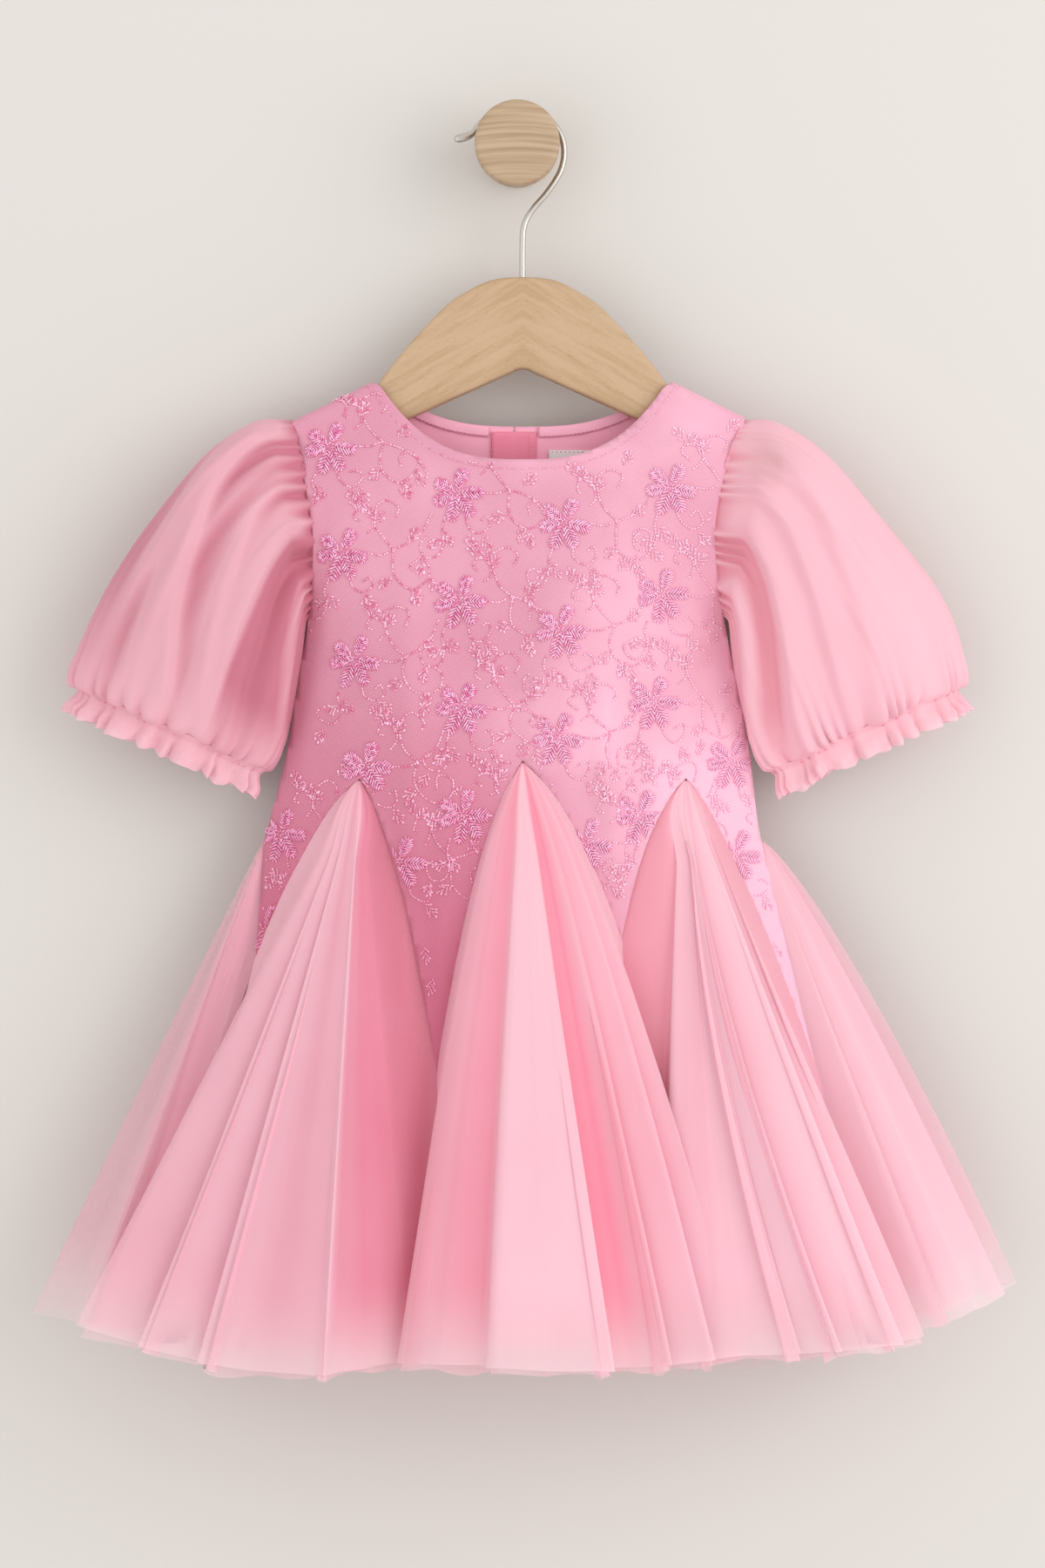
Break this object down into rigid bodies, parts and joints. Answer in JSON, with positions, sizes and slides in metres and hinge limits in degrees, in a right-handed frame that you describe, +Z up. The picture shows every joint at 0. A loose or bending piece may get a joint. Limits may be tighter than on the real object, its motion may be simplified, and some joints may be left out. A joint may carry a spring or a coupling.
{
  "type": "toddler party dress on a hanger and wall peg",
  "caption": "Toddler party dress in pink embroidered net with puff sleeves and flared tulle godets, hung on a wooden hanger from a round wall peg.",
  "frame": {"origin": "centre of the wall peg's flat back face, where it meets the wall", "axes": "+Z up, +X to the right seen from the front, +Y into the wall"},
  "size_m": [0.5185, 0.151, 0.6698],
  "materials": {
    "peg_beech": "oiled beech, end grain on the disc",
    "hanger_beech": "smooth waxed beech with fine flecks",
    "wire": "satin nickel wire",
    "embroidered_net": "fine net over satin lining with thread flowers",
    "organza": "sheer matt organza",
    "tulle": "sheer fine tulle",
    "facing": "plain woven cotton",
    "label": "bare white woven ribbon",
    "button": "small shank button"
  },
  "bodies": {
    "root": {"wall_peg": "peg_beech", "hook": "wire", "hanger": "hanger_beech", "front": "embroidered_net", "back_left": "embroidered_net", "back_right": "embroidered_net", "sleeve_left": "organza", "sleeve_right": "organza", "cuff_frill_left": "organza", "cuff_frill_right": "organza", "neck_facing_left": "facing", "neck_facing_right": "facing", "placket_outer": "embroidered_net", "placket_inner": "facing", "label": "label", "button_1": "button", "button_2": "button", "button_3": "button", "button_4": "button", "button_5": "button", "godet_front_left": "tulle", "godet_front_centre": "tulle", "godet_front_right": "tulle", "godet_side_right": "tulle", "godet_back_right": "tulle", "godet_back_centre": "tulle", "godet_back_left": "tulle", "godet_side_left": "tulle", "underskirt": "tulle"}
  },
  "joints": []
}
